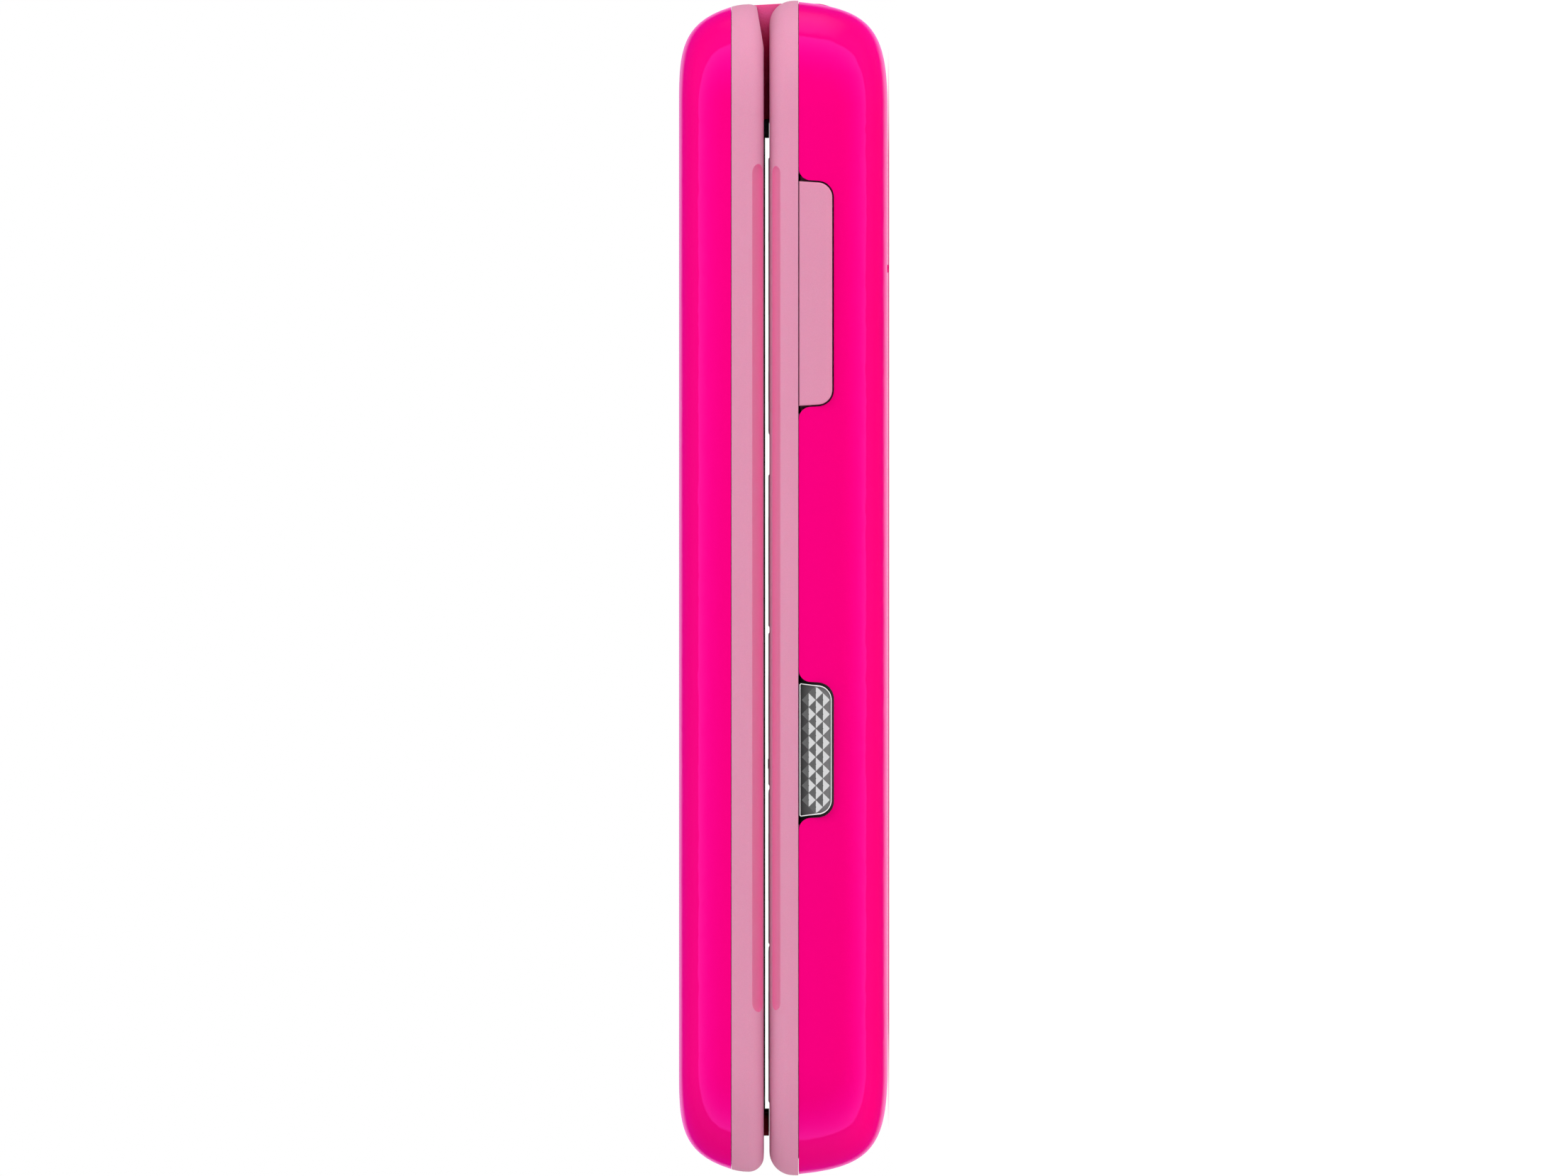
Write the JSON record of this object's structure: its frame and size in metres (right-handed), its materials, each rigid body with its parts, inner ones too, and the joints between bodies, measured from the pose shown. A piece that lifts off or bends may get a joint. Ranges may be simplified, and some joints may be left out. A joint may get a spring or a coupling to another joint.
{
  "type": "flip phone",
  "caption": "Clamshell mobile phone with a hinged lid, two screens, a large-button keypad, a rocking volume key and a studded help key.",
  "frame": {"origin": "on the surface that the closed phone lies on, below the middle of its box", "axes": "+X towards the side with the volume key, +Y towards the hinge end, +Z towards the lid's outer face"},
  "size_m": [0.055, 0.108, 0.0193],
  "materials": {
    "cover_pink": "glossy, hot pink",
    "frame_pink": "fine grained matte, pale pink",
    "key_pink": "satin, pale pink",
    "soft_stop": "soft moulded stop",
    "grey_rubber": "matte grey",
    "mat_rubber": "dark silicone sheet",
    "studded_metal": "bright metal, faceted",
    "ring_metal": "turned and polished",
    "screen_glass": "clear panel, black behind",
    "display": "switched-off screen",
    "flash_clear": "frosted, with fine rings",
    "black_plastic": "moulded black",
    "board_green": "solder mask",
    "flex_amber": "flexible circuit",
    "cell_wrap": "battery wrap",
    "plated_steel": "plated",
    "screw_steel": "blackened"
  },
  "bodies": {
    "base": {"base_cover": "cover_pink", "base_frame": "frame_pink", "base_chassis": "black_plastic", "keypad_mat": "mat_rubber", "main_board": "board_green", "shield_can": "plated_steel", "battery": "cell_wrap", "battery_contacts": "black_plastic", "loudspeaker": "black_plastic", "microphone": "black_plastic", "card_holder": "plated_steel", "charging_port": "plated_steel", "headphone_jack": "black_plastic", "antenna": "flex_amber", "side_switches": "flex_amber", "base_screws": "screw_steel", "hinge_cam": "plated_steel", "hinge_bush": "plated_steel"},
    "lid": {"lid_cover": "cover_pink", "lid_frame": "frame_pink", "hinge_knuckle": "frame_pink", "hinge_housing": "plated_steel", "hinge_follower": "plated_steel", "hinge_spring": "plated_steel", "flex_cable": "flex_amber", "inner_lens": "screen_glass", "main_display": "display", "lid_board": "board_green", "outer_lens": "screen_glass", "outer_display": "display", "camera_glass": "screen_glass", "camera_ring": "ring_metal", "flash_lens": "flash_clear", "camera_module": "black_plastic", "earpiece": "black_plastic", "lid_bumpers": "soft_stop", "hinge_buffer": "grey_rubber", "lid_magnet": "screw_steel", "lid_screws": "screw_steel"},
    "key_1": {"key_1": "key_pink"},
    "key_2": {"key_2": "key_pink"},
    "key_3": {"key_3": "key_pink"},
    "key_4": {"key_4": "key_pink"},
    "key_5": {"key_5": "key_pink"},
    "key_6": {"key_6": "key_pink"},
    "key_7": {"key_7": "key_pink"},
    "key_8": {"key_8": "key_pink"},
    "key_9": {"key_9": "key_pink"},
    "key_star": {"key_star": "key_pink"},
    "key_0": {"key_0": "key_pink"},
    "key_hash": {"key_hash": "key_pink"},
    "soft_key_left": {"soft_key_left": "key_pink"},
    "soft_key_right": {"soft_key_right": "key_pink"},
    "call_key": {"call_key": "key_pink"},
    "end_key": {"end_key": "key_pink"},
    "select_key": {"select_key": "key_pink"},
    "nav_carrier": {"nav_carrier": "grey_rubber"},
    "nav_ring": {"nav_ring": "key_pink"},
    "volume_rocker": {"volume_rocker": "frame_pink"},
    "emergency_key": {"emergency_key": "studded_metal"}
  },
  "joints": [
    {"name": "lid_hinge", "type": "hinge", "parent": "base", "child": "lid", "pos_m": [0, 0.05045, 0.00671], "axis": [-1, 0, 0], "range_deg": [0, 155]},
    {"name": "key_1_press", "type": "slide", "parent": "base", "child": "key_1", "axis": [0, 0, -1], "range_m": [0, 0.0003], "stiffness_N_per_m": 3000},
    {"name": "key_2_press", "type": "slide", "parent": "base", "child": "key_2", "axis": [0, 0, -1], "range_m": [0, 0.0003], "stiffness_N_per_m": 3000},
    {"name": "key_3_press", "type": "slide", "parent": "base", "child": "key_3", "axis": [0, 0, -1], "range_m": [0, 0.0003], "stiffness_N_per_m": 3000},
    {"name": "key_4_press", "type": "slide", "parent": "base", "child": "key_4", "axis": [0, 0, -1], "range_m": [0, 0.0003], "stiffness_N_per_m": 3000},
    {"name": "key_5_press", "type": "slide", "parent": "base", "child": "key_5", "axis": [0, 0, -1], "range_m": [0, 0.0003], "stiffness_N_per_m": 3000},
    {"name": "key_6_press", "type": "slide", "parent": "base", "child": "key_6", "axis": [0, 0, -1], "range_m": [0, 0.0003], "stiffness_N_per_m": 3000},
    {"name": "key_7_press", "type": "slide", "parent": "base", "child": "key_7", "axis": [0, 0, -1], "range_m": [0, 0.0003], "stiffness_N_per_m": 3000},
    {"name": "key_8_press", "type": "slide", "parent": "base", "child": "key_8", "axis": [0, 0, -1], "range_m": [0, 0.0003], "stiffness_N_per_m": 3000},
    {"name": "key_9_press", "type": "slide", "parent": "base", "child": "key_9", "axis": [0, 0, -1], "range_m": [0, 0.0003], "stiffness_N_per_m": 3000},
    {"name": "key_star_press", "type": "slide", "parent": "base", "child": "key_star", "axis": [0, 0, -1], "range_m": [0, 0.0003], "stiffness_N_per_m": 3000},
    {"name": "key_0_press", "type": "slide", "parent": "base", "child": "key_0", "axis": [0, 0, -1], "range_m": [0, 0.0003], "stiffness_N_per_m": 3000},
    {"name": "key_hash_press", "type": "slide", "parent": "base", "child": "key_hash", "axis": [0, 0, -1], "range_m": [0, 0.0003], "stiffness_N_per_m": 3000},
    {"name": "soft_key_left_press", "type": "slide", "parent": "base", "child": "soft_key_left", "axis": [0, 0, -1], "range_m": [0, 0.0003], "stiffness_N_per_m": 3000},
    {"name": "soft_key_right_press", "type": "slide", "parent": "base", "child": "soft_key_right", "axis": [0, 0, -1], "range_m": [0, 0.0003], "stiffness_N_per_m": 3000},
    {"name": "call_key_press", "type": "slide", "parent": "base", "child": "call_key", "axis": [0, 0, -1], "range_m": [0, 0.0003], "stiffness_N_per_m": 3000},
    {"name": "end_key_press", "type": "slide", "parent": "base", "child": "end_key", "axis": [0, 0, -1], "range_m": [0, 0.0003], "stiffness_N_per_m": 3000},
    {"name": "select_key_press", "type": "slide", "parent": "base", "child": "select_key", "axis": [0, 0, -1], "range_m": [0, 0.0003], "stiffness_N_per_m": 3000},
    {"name": "nav_rock_sideways", "type": "hinge", "parent": "base", "child": "nav_carrier", "pos_m": [0, 0.0269, 0.00917], "axis": [0, 1, 0], "range_deg": [-0.7, 0.7], "stiffness_Nm_per_rad": 0.6},
    {"name": "nav_rock_up_down", "type": "hinge", "parent": "nav_carrier", "child": "nav_ring", "pos_m": [0, 0.0269, 0.00995], "axis": [1, 0, 0], "range_deg": [-0.7, 0.7], "stiffness_Nm_per_rad": 0.6},
    {"name": "volume_rock", "type": "hinge", "parent": "base", "child": "volume_rocker", "pos_m": [0.02432, 0.027, 0.00675], "axis": [0, 0, 1], "range_deg": [-1.1, 1.1], "stiffness_Nm_per_rad": 0.8},
    {"name": "emergency_press", "type": "slide", "parent": "base", "child": "emergency_key", "axis": [-1, 0, 0], "range_m": [0, 0.0003], "stiffness_N_per_m": 4000}
  ]
}
